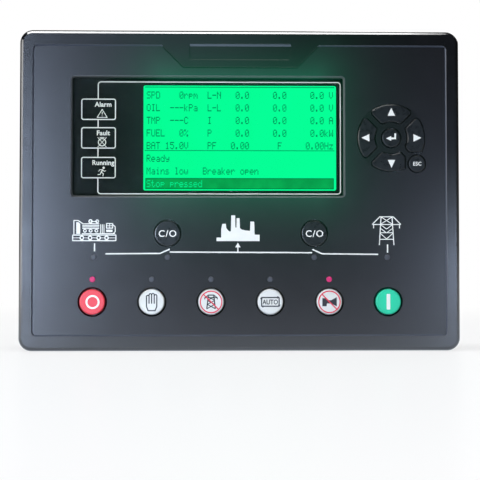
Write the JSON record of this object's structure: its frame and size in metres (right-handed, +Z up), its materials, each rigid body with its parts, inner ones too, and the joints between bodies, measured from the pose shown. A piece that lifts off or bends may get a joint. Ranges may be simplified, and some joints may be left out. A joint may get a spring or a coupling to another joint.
{
  "type": "genset controller",
  "caption": "Panel-mounted genset controller: dark bezel with lit green display, arrow keys, round mode keys and lamps, and a case behind with pluggable terminals and fixing clips.",
  "frame": {"origin": "centre of the panel cut-out on the gasket's back face, where the panel's front face lies", "axes": "+X right as seen from the front, +Y from the front into the panel, +Z up"},
  "size_m": [0.2408, 0.0506, 0.1752],
  "materials": {
    "bezel": "fine satin texture, dark grey",
    "overlay": "satin printed film, dark grey",
    "foam": "closed-cell foam, black",
    "window": "smoke tint, polished",
    "display": "lit dot-matrix glass, green",
    "light_guide": "white, diffusing",
    "black_steel": "black, satin",
    "board": "green solder mask",
    "zinc_steel": "zinc plated",
    "bright_steel": "nickel plated",
    "black_plastic": "black moulded plastic",
    "blue_plastic": "blue moulded plastic",
    "sleeve": "dark shrink sleeve",
    "case": "dark grey moulded plastic, fine grain",
    "terminal": "green moulded plastic",
    "silicone": "grey silicone",
    "lamp_lit": "lit red light pipe",
    "lamp_off": "unlit diffuse light pipe",
    "key_red": "satin red key",
    "key_white": "satin white key",
    "key_green": "satin green key",
    "key_dark": "satin dark key"
  },
  "bodies": {
    "controller": {"front_bezel": "bezel", "front_overlay": "overlay", "panel_gasket": "foam", "display_window": "window", "lcd_seal": "foam", "lcd_frame": "black_steel", "lcd_glass": "display", "lcd_backlight": "light_guide", "lcd_board": "board", "lcd_screws": "zinc_steel", "status_light_box": "light_guide", "lamps_lit": "lamp_lit", "lamps_off": "lamp_off", "indicator_leds": "light_guide", "keymat": "silicone", "keypad_board": "board", "keypad_screws": "zinc_steel", "keypad_link": "black_plastic", "lcd_link": "black_plastic", "main_board": "board", "main_board_screws": "zinc_steel", "processor": "black_plastic", "relays": "black_plastic", "current_transformers": "blue_plastic", "capacitors": "sleeve", "clock_cell": "zinc_steel", "rear_case": "case", "case_screws": "zinc_steel", "header_top_left": "terminal", "header_top_right": "terminal", "header_bottom_left": "terminal", "header_bottom_right": "terminal", "plug_top_left": "terminal", "plug_top_right": "terminal", "plug_bottom_left": "terminal", "plug_bottom_right": "terminal", "clamp_screws": "zinc_steel", "usb_shell": "bright_steel", "usb_insert": "light_guide", "fixing_clips": "black_plastic", "clip_screws": "zinc_steel"},
    "key_stop": {"stop_key": "key_red"},
    "key_manual": {"manual_key": "key_white"},
    "key_test": {"test_key": "key_white"},
    "key_auto": {"auto_key": "key_white"},
    "key_mute": {"mute_key": "key_white"},
    "key_start": {"start_key": "key_green"},
    "key_generator_breaker": {"generator_breaker_key": "key_dark"},
    "key_mains_breaker": {"mains_breaker_key": "key_dark"},
    "key_up": {"up_key": "key_dark"},
    "key_down": {"down_key": "key_dark"},
    "key_left": {"left_key": "key_dark"},
    "key_right": {"right_key": "key_dark"},
    "key_enter": {"enter_key": "key_dark"},
    "key_escape": {"escape_key": "key_dark"}
  },
  "joints": [
    {"name": "press_stop", "type": "slide", "parent": "controller", "child": "key_stop", "axis": [0, 1, 0], "range_m": [0, 0.001], "stiffness_N_per_m": 1000, "springref_m": -0.0005, "deforming": ["keymat"]},
    {"name": "press_manual", "type": "slide", "parent": "controller", "child": "key_manual", "axis": [0, 1, 0], "range_m": [0, 0.001], "stiffness_N_per_m": 1000, "springref_m": -0.0005, "deforming": ["keymat"]},
    {"name": "press_test", "type": "slide", "parent": "controller", "child": "key_test", "axis": [0, 1, 0], "range_m": [0, 0.001], "stiffness_N_per_m": 1000, "springref_m": -0.0005, "deforming": ["keymat"]},
    {"name": "press_auto", "type": "slide", "parent": "controller", "child": "key_auto", "axis": [0, 1, 0], "range_m": [0, 0.001], "stiffness_N_per_m": 1000, "springref_m": -0.0005, "deforming": ["keymat"]},
    {"name": "press_mute", "type": "slide", "parent": "controller", "child": "key_mute", "axis": [0, 1, 0], "range_m": [0, 0.001], "stiffness_N_per_m": 1000, "springref_m": -0.0005, "deforming": ["keymat"]},
    {"name": "press_start", "type": "slide", "parent": "controller", "child": "key_start", "axis": [0, 1, 0], "range_m": [0, 0.001], "stiffness_N_per_m": 1000, "springref_m": -0.0005, "deforming": ["keymat"]},
    {"name": "press_generator_breaker", "type": "slide", "parent": "controller", "child": "key_generator_breaker", "axis": [0, 1, 0], "range_m": [0, 0.001], "stiffness_N_per_m": 1000, "springref_m": -0.0005, "deforming": ["keymat"]},
    {"name": "press_mains_breaker", "type": "slide", "parent": "controller", "child": "key_mains_breaker", "axis": [0, 1, 0], "range_m": [0, 0.001], "stiffness_N_per_m": 1000, "springref_m": -0.0005, "deforming": ["keymat"]},
    {"name": "press_up", "type": "slide", "parent": "controller", "child": "key_up", "axis": [0, 1, 0], "range_m": [0, 0.001], "stiffness_N_per_m": 1000, "springref_m": -0.0005, "deforming": ["keymat"]},
    {"name": "press_down", "type": "slide", "parent": "controller", "child": "key_down", "axis": [0, 1, 0], "range_m": [0, 0.001], "stiffness_N_per_m": 1000, "springref_m": -0.0005, "deforming": ["keymat"]},
    {"name": "press_left", "type": "slide", "parent": "controller", "child": "key_left", "axis": [0, 1, 0], "range_m": [0, 0.001], "stiffness_N_per_m": 1000, "springref_m": -0.0005, "deforming": ["keymat"]},
    {"name": "press_right", "type": "slide", "parent": "controller", "child": "key_right", "axis": [0, 1, 0], "range_m": [0, 0.001], "stiffness_N_per_m": 1000, "springref_m": -0.0005, "deforming": ["keymat"]},
    {"name": "press_enter", "type": "slide", "parent": "controller", "child": "key_enter", "axis": [0, 1, 0], "range_m": [0, 0.001], "stiffness_N_per_m": 1000, "springref_m": -0.0005, "deforming": ["keymat"]},
    {"name": "press_escape", "type": "slide", "parent": "controller", "child": "key_escape", "axis": [0, 1, 0], "range_m": [0, 0.001], "stiffness_N_per_m": 1000, "springref_m": -0.0005, "deforming": ["keymat"]}
  ]
}
